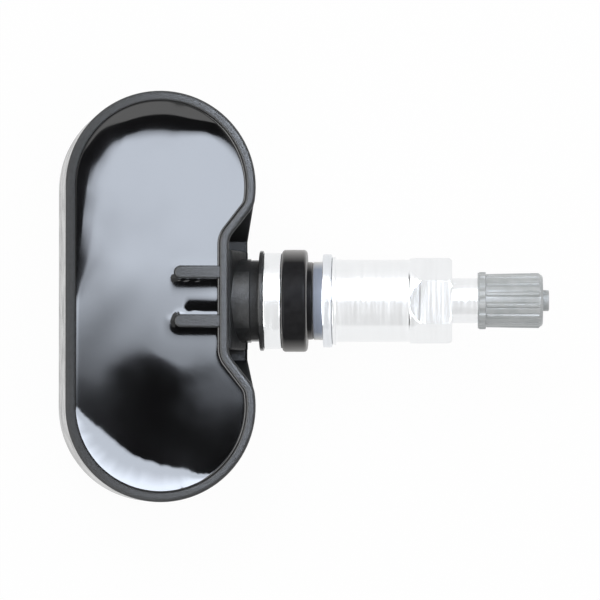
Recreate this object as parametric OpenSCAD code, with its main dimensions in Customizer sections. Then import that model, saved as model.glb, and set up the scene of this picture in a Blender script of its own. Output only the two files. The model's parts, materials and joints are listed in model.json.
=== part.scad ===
// Tyre pressure sensor with a clamp-in valve, in millimetres.
// The origin is on the valve's axis, in the plane where the rubber grommet seats on the wheel rim.
// +X runs along the valve towards its cap, +Z out of the open face of the housing, and the
// valve's axis climbs from the housing at valve_tilt. Lengths along the valve are written s.

/* [Housing] */
// Outer radius of the two round lobes
lobe_r = 16.2; // [15.8:0.1:17.5]
// Distance between the centres of the lobes
lobe_gap = 37.4; // [37.2:0.1:40]
// How far the tub sits off the valve's axis, along Y
tub_shift = 0.5; // [-0.5:0.1:0.8]
// How far the lobes stand out past the waist wall
waist_depth = 4.6; // [4.2:0.1:5.4]
// Radius of the shoulder where a lobe turns into the waist
shoulder_r = 4; // [3.2:0.1:5]
// Radius of the inside corner at the foot of the waist's slope
waist_r = 3; // [2:0.1:4]
// Angle of the waist's slope from the Y axis
notch_angle = 37.8; // [35:0.1:42]
// Wall of the tub
wall_t = 1.6; // [1.2:0.1:2]
// Floor of the tub
floor_t = 1.6; // [1.2:0.1:2]
// Height of the tub from its back to its rim
tub_h = 17; // [16.4:0.1:20]
// Height of the valve's axis over the back, at the rim seat
seat_h = 10; // [9.8:0.1:10.6]
// Bevel round the edge of the back
back_bevel = 0.6; // [0.3:0.1:1]
// Length of the two ribs inside the waist wall
rib_l = 7.7; // [6:0.1:8.4]
// Thickness of a rib
rib_t = 2.2; // [1.6:0.1:2.4]
// Distance between the ribs' centre planes
rib_gap = 8.3; // [8:0.1:10]
// Height of the ribs' tops over the potting
rib_rise = 0.3; // [0.1:0.1:0.6]
// Height of the shelf that fills the waist low down, under the neck
shelf_h = 7; // [5:0.1:8]
// How far the shelf reaches out past the waist wall
shelf_reach = 4.25; // [3.4:0.05:4.35]
// Depth below the rim at which the shelf's climbing ends meet the lobes
shelf_drop = 0.6; // [0.4:0.1:2]
// Width of the valve block
block_w = 17.2; // [15:0.1:18]
// How far the valve block reaches out past the waist wall
block_reach = 4.4; // [4:0.1:4.5]
// Depth of the block's leaning face below the shelf, at its foot
block_step = 1; // [0.5:0.1:2]
// Radius of the pressure port in the back
port_r = 0.8; // [0.5:0.05:0.9]

/* [Potting and electronics] */
// Depth of the potting's surface below the rim
pot_drop = 0.7; // [0.4:0.1:1.2]
// Gap between the circuit board's edge and the wall
board_edge = 1; // [0.6:0.1:1.4]
// Thickness of the circuit board
board_t = 1; // [0.6:0.1:1.2]
// Height of the circuit board's underside over the floor
board_lift = 3; // [2.8:0.1:3.4]
// Radius of the posts under the board
post_r = 1.3; // [1:0.1:1.5]
// Gap between the battery cell and the wall
cell_gap = 2.35; // [1.8:0.05:3]
// Thickness of the battery cell
cell_t = 5; // [3.2:0.1:5.4]
// Thickness of the battery's tabs
tab_t = 0.2; // [0.15:0.05:0.3]
// Width of the battery's tabs
tab_w = 4; // [3:0.1:5]
// Side of the sensor chip
sensor_w = 5; // [4:0.1:6]
// Thickness of the sensor chip
sensor_t = 1.8; // [1.4:0.1:2]
// Outer radius of the port's seal
port_seal_r = 2; // [1.6:0.1:2.4]
// How far the seal's hole stands back from the port's
port_seal_gap = 0.2; // [0.1:0.05:0.3]
// Side of the transmitter chip
transmitter_w = 5; // [4:0.1:6]
// Thickness of the transmitter chip
transmitter_t = 0.9; // [0.7:0.1:1.2]
// Length of the low-frequency coil's core
coil_l = 11.6; // [8:0.1:12]
// Side of the coil core's end plates
coil_end_w = 3.4; // [3:0.1:3.8]
// Side of the core between its end plates
coil_core_w = 1.8; // [1.4:0.1:2]
// Depth of the winding below the end plates
coil_sink = 0.2; // [0.1:0.05:0.4]
// Gap between the coil and the antenna strip
coil_gap = 2.4; // [2:0.1:3]
// Gap between the antenna strip and the wall
antenna_gap = 1.85; // [1.6:0.05:2.2]
// Height of the antenna strip
antenna_h = 4; // [2:0.1:5]
// Thickness of the antenna strip
antenna_t = 0.3; // [0.2:0.05:0.4]

/* [Valve] */
// Angle of the valve's axis over the back of the housing
valve_tilt = 9; // [7:0.5:9.5]
// Thickness of the grommet's flange, which seats on the wheel rim
grommet_t = 4.3; // [3.5:0.1:5]
// Radius of the grommet's flange
grommet_r = 8.75; // [8.3:0.05:9]
// Length of the grommet's spigot in the rim hole
spigot_l = 1; // [0.8:0.1:1.6]
// Radius of the grommet's spigot
spigot_r = 6.65; // [6:0.05:6.75]
// Rounding of the grommet's edges
grommet_round = 0.6; // [0.3:0.1:0.8]
// Thickness of the stem's flange
flange_t = 3.15; // [2.6:0.05:3.6]
// Radius of the stem's flange
flange_r = 8.25; // [8:0.05:8.6]
// Thickness of the housing's lip behind the flange
lip_t = 0.7; // [0.5:0.1:1]
// Radius of the lip
lip_r = 8.6; // [7.8:0.05:8.7]
// Width of the groove behind the lip
groove_w = 1.5; // [1.3:0.1:2]
// Radius of the groove
groove_r = 7; // [6.6:0.05:7.1]
// Length of the neck between the waist wall and the groove
neck_l = 4.6; // [4.2:0.1:4.8]
// Radius of the neck
neck_r = 7.2; // [7.15:0.05:7.4]
// Depth of the stem's foot past the waist wall's outer face
foot_l = 6.4; // [5:0.1:7]
// Radius of the stem's foot
foot_r = 3.4; // [3.2:0.1:3.6]
// Radius of the two anchor rings on the foot
anchor_r = 4.4; // [4:0.1:4.5]
// Width of an anchor ring
anchor_w = 1.5; // [1:0.1:1.8]
// Plastic round the stem's foot inside the tub
boss_t = 2; // [1.8:0.1:2.2]
// Radius of the stem inside the grommet
shoulder_stem_r = 5.6; // [5.4:0.05:5.8]
// Radius of the stem's thread for the nut
nut_thread_r = 5; // [4.8:0.05:5.2]
// Radius of the stem's thread for the cap
cap_thread_r = 3.85; // [3.75:0.05:3.95]
// Bevel at the end of each thread
thread_bevel = 0.4; // [0.2:0.1:0.6]
// Radius of the air passage
air_r = 1.3; // [1:0.05:1.5]
// Radius of the cross hole that lets air out of the neck
cross_r = 0.6; // [0.5:0.05:0.7]

/* [Nut and washer] */
// Gap between the grommet's spigot and the washer's sleeve
washer_gap = 0.05; // [0.05:0.05:0.2]
// Length of the washer's sleeve
sleeve_l = 1.65; // [1.2:0.05:2.2]
// Radius of the washer's sleeve
sleeve_r = 6.7; // [6.4:0.05:7]
// Thickness of the washer's flange
washer_t = 1.55; // [1.2:0.05:2]
// Radius of the washer's flange
washer_r = 8; // [7.6:0.05:8.4]
// Length of the nut
nut_l = 20.5; // [18:0.1:22]
// Radius of the nut's barrel
barrel_r = 7.05; // [6.9:0.05:7.2]
// Radius of the ring at the nut's foot
nut_ring_r = 7.55; // [7.3:0.05:7.8]
// Width of the ring at the nut's foot
nut_ring_w = 0.6; // [0.4:0.1:1]
// Length of the nut's hexagon
hex_l = 5.4; // [5:0.1:8]
// Length over which each flat of the hexagon runs out into the barrel
run_out = 2; // [1:0.1:3]
// Width of the hexagon across its flats
hex_af = 12.7; // [12.4:0.1:12.9]
// Width of the hexagon across its corners, which are turned round
hex_ac = 14.65; // [14.4:0.05:14.7]
// Turn of the hexagon about the valve's axis
hex_turn = 4; // [0:1:30]
// Bevel on the nut's ends
nut_bevel = 0.5; // [0.3:0.1:0.8]
// Radial clearance of what turns or slides on the stem
running_gap = 0.05; // [0.03:0.01:0.1]
// End clearance between pieces of different bodies
end_gap = 0.05; // [0.03:0.01:0.1]

/* [Valve cap] */
// Bare stem between the nut and the cap
bare_l = 4.35; // [4.1:0.05:5]
// Length of the cap without its nub
cap_l = 11.15; // [10.8:0.05:13]
// Radius of the cap between its ribs
cap_r = 4.5; // [4.45:0.05:4.6]
// Height of the cap's ribs
cap_rib_h = 0.22; // [0.1:0.02:0.3]
// Width of the cap's ribs
cap_rib_w = 0.4; // [0.3:0.05:0.6]
// Number of ribs round the cap
cap_ribs = 16; // [12:1:20]
// Radius of the skirt at the cap's mouth
skirt_r = 4.9; // [4.8:0.05:5]
// Width of the skirt
skirt_w = 1.4; // [1:0.1:2]
// Rounding of the cap's outer edge
cap_round = 0.7; // [0.4:0.1:0.9]
// Thickness of the cap's end
cap_end_t = 1.2; // [1:0.05:1.6]
// Length of the nub on the cap's end
nub_l = 1.05; // [0.8:0.05:1.3]
// Radius of the nub
nub_r = 1.8; // [1.5:0.05:2.2]
// Thickness of the seal in the cap
cap_seal_t = 1; // [0.8:0.1:1.3]

/* [Valve core] */
// Radius of the stem's bore at the core's head
mouth_r = 2.75; // [2.7:0.05:2.8]
// Depth of the mouth to the taper
mouth_l = 6; // [5.5:0.1:7]
// Length of the taper that the core's ring seals on
taper_l = 1.2; // [1:0.1:1.5]
// Radius of the bore behind the taper
core_bore_r = 2.1; // [2.05:0.05:2.2]
// Depth of the core's bore behind the taper
core_bore_l = 12; // [11.5:0.1:13]
// Depth of the core's head below the stem's end
head_sink = 1.5; // [1.2:0.1:1.8]
// Length of the core's head
head_l = 2.8; // [2.4:0.1:3.2]
// Radius of the core's shank
shank_r = 2; // [1.9:0.05:2]
// Length of the core's body below its head
shank_l = 8.5; // [8.2:0.1:9]
// Radius of the spring's chamber
chamber_r = 1.05; // [1:0.05:1.1]
// Thickness of the chamber's end
chamber_end_t = 2.4; // [2:0.1:2.8]
// Radius of the pin
pin_r = 0.5; // [0.4:0.05:0.55]
// Radius of the pin's button
button_r = 0.75; // [0.6:0.05:0.9]
// Length of the pin's button
button_l = 0.6; // [0.4:0.1:0.8]
// Depth of the pin's top below the stem's end
pin_sink = 0.4; // [0.2:0.1:0.6]
// Radius of the pin's collar, which the spring lifts
collar_r = 0.95; // [0.9:0.05:1]
// Thickness of the pin's collar
collar_t = 0.4; // [0.3:0.1:0.6]
// Depth of the collar below the top of the core's head
collar_sink = 0.4; // [0.3:0.1:0.5]
// Radius of the cup on the pin's foot
cup_r = 1.55; // [1.4:0.05:1.7]
// Length of the cup
cup_l = 2.3; // [2:0.1:2.6]
// Wall of the cup
cup_wall = 0.2; // [0.15:0.05:0.3]
// Thickness of the rubber in the cup
cup_seal_t = 1.2; // [0.8:0.1:1.4]
// How far the rubber stands out of the cup
cup_seal_out = 0.4; // [0.2:0.1:0.6]
// Radius of the spring's wire
spring_wire_r = 0.13; // [0.1:0.01:0.14]
// Turns of the spring
spring_turns = 9; // [7:1:11]

/* [Hidden] */
$fn = 96;

plastic = [0.13, 0.135, 0.14];
pot_black = [0.03, 0.03, 0.035];
board_green = [0.05, 0.28, 0.14];
steel = [0.72, 0.73, 0.74];
copper = [0.72, 0.42, 0.22];
chip_black = [0.06, 0.06, 0.065];
ceramic = [0.62, 0.55, 0.42];
aluminium = [0.86, 0.87, 0.88];
rubber = [0.07, 0.07, 0.07];
brass = [0.78, 0.63, 0.32];
cap_grey = [0.6, 0.63, 0.64];

// Places along the valve, counted from the rim seat
flange_s = -grommet_t;
lip_s = flange_s - flange_t;
groove_s = lip_s - lip_t;
neck_s = groove_s - groove_w;
wall_s = neck_s - neck_l;
foot_s = wall_s - foot_l;
cross_s = groove_s - groove_w / 2;
sleeve_s = spigot_l + washer_gap;
washer_s = sleeve_s + sleeve_l;
nut_s = washer_s + washer_t + end_gap;
nut_end_s = nut_s + nut_l;
hex_s = nut_end_s - hex_l;
cap_s = nut_end_s + bare_l;
cap_top_s = cap_s + cap_l;
cap_roof_s = cap_top_s - cap_end_t;
stem_end_s = cap_roof_s - cap_seal_t - 2 * end_gap;
taper_s = stem_end_s - mouth_l;
bore_s = taper_s - taper_l;
bore_end_s = bore_s - core_bore_l;
head_s = stem_end_s - head_sink - head_l;
core_end_s = head_s - shank_l;
ledge_s = core_end_s + chamber_end_t;
collar_s = head_s + head_l - collar_sink - collar_t;
cup_seal_top_s = core_end_s - end_gap;
cup_s = cup_seal_top_s - cup_seal_out - cup_l;

// Places of the housing
waist_x = wall_s;
lobe_x = waist_x + waist_depth - lobe_r;
back_x = lobe_x - lobe_r;
base_z = -seat_h;
floor_z = base_z + floor_t;
rim_z = base_z + tub_h;
pot_z = rim_z - pot_drop;
shoulder_angle = 8;
notch_n = direction(-notch_angle);
cell_r = lobe_r - wall_t - cell_gap;
antenna_r = lobe_r - wall_t - antenna_gap - antenna_t / 2;
shoulder_c = [lobe_x, lobe_gap / 2] + (lobe_r - shoulder_r) * direction(-shoulder_angle);
fillet_x = waist_x + waist_r;
fillet_c = [fillet_x, (fillet_x * notch_n.x - shoulder_c * notch_n - shoulder_r - waist_r) / -notch_n.y];
overlap = 0.5;

// Places inside the tub
board_z = floor_z + board_lift;
board_top_z = board_z + board_t;
cell_z = board_top_z + tab_t;
rib_end_x = waist_x - wall_t - rib_l;
board_notch_x = rib_end_x - board_edge;
board_notch_w = rib_gap + rib_t + 2 * board_edge;
rib_side_y = rib_gap / 2 + rib_t / 2;
upper_tab_x = lobe_x - lobe_r / 2;
lower_tab_x = upper_tab_x + 1.5 * tab_w;
sensor_x = lobe_x - sensor_w;
sensor_y = -lobe_gap / 2 + sensor_w;
coil_y = -lobe_gap / 2 - antenna_r + coil_gap + coil_end_w / 2;
coil_plate_t = coil_end_w / 4;
wound_w = coil_end_w - 2 * coil_sink;
wound_l = coil_l - 2 * coil_plate_t;
crystal_size = [2.5, 3.2, 0.8];
chip_size = [0.8, 1.6, 0.6];
chip_pitch = 1.6;
spring_sides = 6;
spring_rings = 12;

// Unit vector at an angle in the XY plane
function direction(a) = [cos(a), sin(a)];

// Turns the Z axis onto the valve's axis; the X axis then points down out of the back
module on_valve() rotate([0, 90 - valve_tilt, 0]) children();

// Moves what belongs to the tub off the valve's axis
module in_tub() translate([0, tub_shift, 0]) children();

// Solid of revolution about the valve's axis, from points [radius, s]
module turned(points) rotate_extrude() polygon(points);

// Ring about the valve's axis between two radii
module tube(r_out, r_in, s0, s1) {
    turned([[r_in, s0], [r_out, s0], [r_out, s1], [r_in, s1]]);
}

// The tub's plan, pulled in by inset: two lobes, a straight back and a waist with sloping sides
module tub_outline(inset) {
    side_x = waist_x - inset;
    slope = shoulder_c * notch_n + shoulder_r - inset;
    bend = [side_x, (side_x * notch_n.x - slope) / -notch_n.y];
    slope_start = shoulder_c + (shoulder_r - inset) * notch_n;
    past_edge = shoulder_c + lobe_r * direction(-shoulder_angle);
    difference() {
        union() {
            translate([back_x + inset, -lobe_gap / 2]) square([side_x - back_x - inset, lobe_gap]);
            for (side = [-1, 1]) translate([lobe_x, side * lobe_gap / 2]) circle(lobe_r - inset);
        }
        for (side = [0, 1]) mirror([0, side]) {
            polygon([shoulder_c, past_edge, [past_edge.x, 0], [side_x, 0], bend, slope_start]);
        }
    }
    for (side = [0, 1]) mirror([0, side]) {
        translate(shoulder_c) circle(shoulder_r - inset);
        difference() {
            fillet_reach = waist_r + inset + 2 * overlap;
            polygon([fillet_c, fillet_c - fillet_reach * notch_n, fillet_c - [fillet_reach, 0]]);
            translate(fillet_c) circle(waist_r + inset);
        }
    }
}

// Shelf that joins the two lobes across the waist: low under the neck, then climbing to the lobes
module waist_shelf() {
    edge_x = waist_x + shelf_reach;
    foot_x = waist_x - wall_t / 2;
    lobe_angle = -11;
    end = [lobe_x, lobe_gap / 2] + lobe_r * direction(lobe_angle);
    low_y = (block_w + waist_r) / 2;
    low = [-low_y - tub_shift, low_y - tub_shift];
    shelf_z = base_z + shelf_h;
    top_z = rim_z - shelf_drop;
    intersection() {
        translate([0, 0, base_z]) linear_extrude(tub_h) polygon([
            [edge_x, low[1]], end, shoulder_c, [foot_x, low[1]],
            [foot_x, low[0]], [shoulder_c.x, -shoulder_c.y], [end.x, -end.y], [edge_x, low[0]]
        ]);
        translate([foot_x - lobe_r, 0, 0]) rotate([90, 0, 90]) linear_extrude(3 * lobe_r) polygon([
            [-lobe_gap / 2, base_z], [lobe_gap / 2, base_z], [lobe_gap / 2, top_z], [end.y, top_z],
            [low[1], shelf_z], [low[0], shelf_z], [-end.y, top_z], [-lobe_gap / 2, top_z]
        ]);
    }
}

// Block with a leaning face that carries the neck
module valve_block() {
    front_x = waist_x + block_reach;
    rotate([90, 0, 0]) linear_extrude(block_w, center = true) {
        polygon([
            [waist_x - wall_t / 2, base_z], [front_x, base_z], [front_x, base_z + shelf_h - block_step],
            [waist_x + overlap, base_z + 0.9 * tub_h], [waist_x - wall_t / 2, base_z + 0.9 * tub_h]
        ]);
    }
}

// Neck, groove and lip about the valve's axis
module neck() {
    on_valve() turned([
        [0, wall_s - 2 * wall_t], [neck_r, wall_s - 2 * wall_t], [neck_r, neck_s], [groove_r, neck_s],
        [groove_r, groove_s], [lip_r, groove_s], [lip_r, lip_s], [0, lip_s]
    ]);
}

// Foot of the stem, moulded into the neck
module stem_foot() {
    ring_s = foot_s + anchor_w / 2;
    front_ring_s = neck_s - 2 * anchor_w;
    on_valve() turned([
        [0, foot_s], [foot_r, foot_s], [foot_r, ring_s], [anchor_r, ring_s],
        [anchor_r, ring_s + anchor_w], [foot_r, ring_s + anchor_w], [foot_r, front_ring_s],
        [anchor_r, front_ring_s], [anchor_r, front_ring_s + anchor_w],
        [foot_r, front_ring_s + anchor_w], [foot_r, lip_s], [0, lip_s]
    ]);
}

// Cross hole from the air passage to the underside of the groove
module cross_hole() {
    on_valve() translate([0, 0, cross_s]) rotate([0, 90, 0]) cylinder(h = lip_r, r = cross_r);
}

// Ribs, valve boss and board posts inside the tub
module inner_fittings() {
    rib_h = pot_z + rib_rise - floor_z;
    for (side = [-1, 1]) in_tub() translate([0, side * rib_gap / 2, floor_z - overlap]) {
        linear_extrude(rib_h + overlap) {
            translate([rib_end_x + rib_t / 2, 0]) circle(rib_t / 2);
            translate([rib_end_x + rib_t / 2, -rib_t / 2]) square([rib_l + overlap, rib_t]);
        }
    }
    on_valve() translate([0, 0, foot_s - boss_t]) {
        cylinder(h = neck_s - neck_l / 2 - foot_s, r = foot_r + boss_t);
    }
    for (x = [lobe_x - 0.7 * lobe_r, lobe_x + 0.4 * lobe_r], side = [-1, 1]) {
        in_tub() translate([x, side * 0.73 * lobe_gap / 2, floor_z - overlap]) {
            cylinder(h = board_lift + overlap, r = post_r);
        }
    }
}

// Moulded tub with its waist, neck, ribs and posts
module housing() color(plastic) difference() {
    union() {
        difference() {
            union() {
                in_tub() {
                    translate([0, 0, base_z + back_bevel]) linear_extrude(tub_h - back_bevel) tub_outline(0);
                    translate([0, 0, base_z]) linear_extrude(tub_h / 2) tub_outline(back_bevel);
                    waist_shelf();
                }
                valve_block();
                neck();
            }
            in_tub() translate([0, 0, floor_z]) linear_extrude(tub_h) tub_outline(wall_t);
        }
        inner_fittings();
    }
    stem_foot();
    cross_hole();
    in_tub() translate([sensor_x, sensor_y, base_z - overlap]) {
        cylinder(h = floor_t + 2 * overlap, r = port_r);
    }
}

// Potting that fills the tub round everything in it
module potting_compound() color(pot_black) difference() {
    in_tub() translate([0, 0, floor_z]) linear_extrude(pot_z - floor_z) tub_outline(wall_t);
    inner_fittings();
    circuit_board();
    battery_cell();
    battery_tab_positive();
    battery_tab_negative();
    sensor_chip();
    in_tub() translate([sensor_x, sensor_y, floor_z]) {
        cylinder(h = board_lift - sensor_t, r = port_seal_r);
    }
    transmitter_chip();
    crystal();
    coil_block();
    rf_antenna();
    chip_capacitors();
    chip_resistors();
}

// Circuit board on the posts, cut away round the ribs and the valve boss
module circuit_board() color(board_green) in_tub() difference() {
    translate([0, 0, board_z]) linear_extrude(board_t) tub_outline(wall_t + board_edge);
    translate([board_notch_x, -board_notch_w / 2, board_z - overlap]) {
        cube([lobe_r, board_notch_w, board_t + 2 * overlap]);
    }
}

// Coin cell with its stepped can
module battery_cell() color(steel) in_tub() translate([lobe_x, lobe_gap / 2, cell_z]) {
    cylinder(h = cell_t * 0.8, r = cell_r);
    cylinder(h = cell_t, r = 0.93 * cell_r);
}

// Strip from the top of the cell down to the board
module battery_tab_positive() color(steel) in_tub() {
    cell_edge_y = lobe_gap / 2 - cell_r;
    top_z = cell_z + cell_t;
    drop_y = cell_edge_y - tab_t;
    foot_y = drop_y - tab_w / 2;
    translate([upper_tab_x - tab_w / 2, 0, 0]) rotate([90, 0, 90]) linear_extrude(tab_w) {
        polygon([
            [lobe_gap / 2, top_z], [lobe_gap / 2, top_z + tab_t], [drop_y - tab_t, top_z + tab_t],
            [drop_y - tab_t, board_top_z + tab_t], [foot_y, board_top_z + tab_t],
            [foot_y, board_top_z], [drop_y, board_top_z], [drop_y, top_z]
        ]);
    }
}

// Flat strip between the cell and the board
module battery_tab_negative() color(steel) in_tub() {
    start_y = rib_side_y + tab_t;
    translate([lower_tab_x - tab_w / 2, start_y, board_top_z]) {
        cube([tab_w, lobe_gap / 2 - start_y, tab_t]);
    }
}

// Pressure and temperature sensor, face down over the port
module sensor_chip() color(chip_black) in_tub() {
    translate([sensor_x - sensor_w / 2, sensor_y - sensor_w / 2, board_z - sensor_t]) {
        cube([sensor_w, sensor_w, sensor_t]);
    }
}

// Ring that keeps the potting out of the port
module sensor_port_seal() color(rubber) in_tub() {
    translate([sensor_x, sensor_y, floor_z]) difference() {
        cylinder(h = board_lift - sensor_t, r = port_seal_r);
        translate([0, 0, -overlap]) cylinder(h = board_lift, r = port_r + port_seal_gap);
    }
}

// Chip that codes and sends the readings
module transmitter_chip() color(chip_black) in_tub() {
    translate([sensor_x - transmitter_w, sensor_y - transmitter_w / 2, board_top_z]) {
        cube([transmitter_w, transmitter_w, transmitter_t]);
    }
}

// Metal can of the crystal, beside the transmitter
module crystal() color(steel) in_tub() {
    crystal_y = sensor_y - transmitter_w / 2 - crystal_size.y - board_edge;
    translate([sensor_x - crystal_size.x, crystal_y, board_top_z]) cube(crystal_size);
}

// Bar of the coil, square in section and centred on its axis
module coil_bar(w, l) {
    translate([lobe_x - l / 2, coil_y - w / 2, board_top_z + coil_end_w / 2 - w / 2]) cube([l, w, w]);
}

// Square plates at the ends of the coil
module coil_plates() {
    difference() {
        coil_bar(coil_end_w, coil_l);
        coil_bar(2 * coil_end_w, wound_l);
    }
}

// Ferrite core with square end plates
module lf_coil_core() color(chip_black) in_tub() {
    coil_plates();
    coil_bar(coil_core_w, coil_l);
}

// Copper winding on the core, a little below its end plates
module lf_coil_winding() color(copper) in_tub() difference() {
    coil_bar(wound_w, wound_l);
    coil_bar(coil_core_w, coil_l);
}

// Room for the core and its winding in the potting
module coil_block() in_tub() {
    coil_plates();
    coil_bar(wound_w, wound_l + 2 * coil_sink);
}

// Strip antenna bent round the outer half of the lobe
module rf_antenna() color(brass) in_tub() {
    translate([lobe_x, -lobe_gap / 2, board_top_z]) difference() {
        cylinder(h = antenna_h, r = antenna_r + antenna_t / 2);
        translate([0, 0, -overlap]) {
            cylinder(h = antenna_h + 2 * overlap, r = antenna_r - antenna_t / 2);
            translate([-lobe_r, 0, 0]) cube([2 * lobe_r, lobe_r, antenna_h + 2 * overlap]);
        }
    }
}

// Row of small parts along X, on the board
module chip_row(y) {
    for (i = [0:4]) translate([lobe_x + i * chip_pitch, y, board_top_z]) cube(chip_size);
}

// Capacitors in the lower lobe
module chip_capacitors() color(ceramic) in_tub() {
    chip_row(-lobe_gap / 2 + lobe_r / 4);
}

// Resistors in the lower lobe
module chip_resistors() color(chip_black) in_tub() {
    chip_row(-lobe_gap / 2 - chip_size.y / 2);
}

// Aluminium stem: foot, flange, neck in the rim hole, nut thread and cap thread
module valve_stem() color(aluminium) difference() {
    union() {
        stem_foot();
        on_valve() turned([
            [0, lip_s], [flange_r - thread_bevel / 2, lip_s], [flange_r, lip_s + thread_bevel / 2],
            [flange_r, flange_s - thread_bevel], [flange_r - thread_bevel, flange_s],
            [shoulder_stem_r, flange_s], [shoulder_stem_r, spigot_l], [nut_thread_r, spigot_l],
            [nut_thread_r, nut_end_s - thread_bevel - (nut_thread_r - cap_thread_r)],
            [cap_thread_r, nut_end_s - thread_bevel], [cap_thread_r, stem_end_s - thread_bevel],
            [cap_thread_r - thread_bevel, stem_end_s], [0, stem_end_s]
        ]);
    }
    on_valve() turned([
        [0, cross_s - 2 * cross_r], [air_r, cross_s - 2 * cross_r], [air_r, bore_end_s],
        [core_bore_r, bore_end_s], [core_bore_r, bore_s], [mouth_r, taper_s],
        [mouth_r, stem_end_s + overlap], [0, stem_end_s + overlap]
    ]);
    cross_hole();
}

// Rubber grommet: flange with rounded edges and the spigot for the rim hole
module rim_grommet() color(rubber) on_valve() {
    tube(spigot_r, shoulder_stem_r, -overlap, spigot_l - grommet_round / 2);
    tube(spigot_r - grommet_round / 2, shoulder_stem_r, -overlap, spigot_l);
    translate([0, 0, spigot_l - grommet_round / 2]) rotate_extrude() {
        translate([spigot_r - grommet_round / 2, 0]) circle(grommet_round / 2);
    }
    rotate_extrude() {
        translate([shoulder_stem_r, flange_s]) {
            square([grommet_r - grommet_round - shoulder_stem_r, grommet_t]);
        }
        translate([shoulder_stem_r, flange_s + grommet_round]) {
            square([grommet_r - shoulder_stem_r, grommet_t - 2 * grommet_round]);
        }
        for (s = [flange_s + grommet_round, -grommet_round]) {
            translate([grommet_r - grommet_round, s]) circle(grommet_round);
        }
    }
}

// Steel washer: sleeve into the rim hole and flange under the nut
module nut_washer() color(steel) on_valve() {
    bore_r = nut_thread_r + running_gap;
    turned([
        [bore_r, sleeve_s], [sleeve_r, sleeve_s], [sleeve_r, washer_s], [washer_r, washer_s],
        [washer_r, washer_s + washer_t - nut_bevel / 2], [washer_r - nut_bevel / 2, washer_s + washer_t],
        [bore_r, washer_s + washer_t]
    ]);
}

// Long nut: ring, round barrel, and six flats milled on a turned head
module hex_nut() color(aluminium) on_valve() {
    bore_r = nut_thread_r + running_gap;
    corner_r = hex_ac / 2;
    head_start_s = hex_s - run_out;
    difference() {
        turned([
            [bore_r, nut_s], [nut_ring_r, nut_s], [nut_ring_r, nut_s + nut_ring_w],
            [barrel_r, nut_s + nut_ring_w], [barrel_r, head_start_s],
            [corner_r, head_start_s + corner_r - barrel_r], [corner_r, nut_end_s - nut_bevel],
            [corner_r - nut_bevel, nut_end_s], [bore_r, nut_end_s]
        ]);
        for (i = [0:5]) rotate([0, 0, hex_turn + 60 * i]) {
            rotate([90, 0, 0]) linear_extrude(2 * corner_r, center = true) {
                polygon([
                    [hex_af / 2, hex_s], [hex_af / 2, nut_end_s + overlap],
                    [2 * corner_r - hex_af / 2, nut_end_s + overlap],
                    [2 * corner_r - hex_af / 2, hex_s - 2 * run_out]
                ]);
            }
        }
    }
}

// Brass core body: threaded head with a cross slot, shank and spring chamber
module core_body() color(brass) on_valve() difference() {
    turned([
        [0, core_end_s], [shank_r - thread_bevel, core_end_s], [shank_r, core_end_s + thread_bevel],
        [shank_r, head_s], [mouth_r, head_s], [mouth_r, head_s + head_l], [0, head_s + head_l]
    ]);
    translate([0, 0, ledge_s]) cylinder(h = shank_l + head_l, r = chamber_r);
    translate([0, 0, core_end_s - overlap]) cylinder(h = shank_l, r = pin_r + 5 * running_gap);
    translate([-mouth_r, -pin_r, head_s + head_l - collar_t]) cube([2 * mouth_r, 2 * pin_r, head_l]);
}

// Ring on the core's shank that seals on the stem's taper
module core_seal_ring() color(rubber) on_valve() {
    turned([[shank_r, bore_s], [core_bore_r, bore_s], [mouth_r, taper_s], [shank_r, taper_s]]);
}

// Pin with its button, collar and foot
module core_pin() color(brass) on_valve() {
    pin_top_s = stem_end_s - pin_sink;
    turned([
        [0, cup_s], [pin_r, cup_s], [pin_r, collar_s], [collar_r, collar_s],
        [collar_r, collar_s + collar_t], [pin_r, collar_s + collar_t], [pin_r, pin_top_s - button_l],
        [button_r, pin_top_s - button_l], [button_r, pin_top_s], [0, pin_top_s]
    ]);
}

// Coil spring between the chamber's ledge and the pin's collar
module core_spring() color(steel) on_valve() {
    coil_r = (pin_r + chamber_r) / 2;
    first_s = ledge_s + spring_wire_r + end_gap;
    last_s = collar_s - spring_wire_r - end_gap;
    steps = spring_turns * spring_rings;
    points = [
        for (i = [0:steps], k = [0:spring_sides - 1])
            let (turn = 360 * i / spring_rings, tube_a = 360 * k / spring_sides,
                r = coil_r + spring_wire_r * cos(tube_a),
                s = first_s + (last_s - first_s) * i / steps + spring_wire_r * sin(tube_a))
                [r * cos(turn), r * sin(turn), s]
    ];
    sides = [
        for (i = [0:steps - 1], k = [0:spring_sides - 1])
            let (next = (k + 1) % spring_sides)
                [i * spring_sides + k, i * spring_sides + next,
                    (i + 1) * spring_sides + next, (i + 1) * spring_sides + k]
    ];
    start_end = [for (k = [spring_sides - 1:-1:0]) k];
    last_end = [for (k = [0:spring_sides - 1]) steps * spring_sides + k];
    polyhedron(points, concat(sides, [start_end, last_end]));
}

// Cup fixed on the pin's foot
module core_cup() color(brass) on_valve() {
    rim_s = cup_s + cup_l;
    seal_s = cup_seal_top_s - cup_seal_t;
    turned([
        [pin_r, cup_s], [cup_r, cup_s], [cup_r, rim_s], [cup_r - cup_wall, rim_s],
        [cup_r - cup_wall, seal_s], [pin_r, seal_s]
    ]);
}

// Rubber in the cup, which closes the core
module core_cup_seal() color(rubber) on_valve() {
    tube(cup_r - cup_wall, pin_r, cup_seal_top_s - cup_seal_t, cup_seal_top_s);
}

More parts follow.
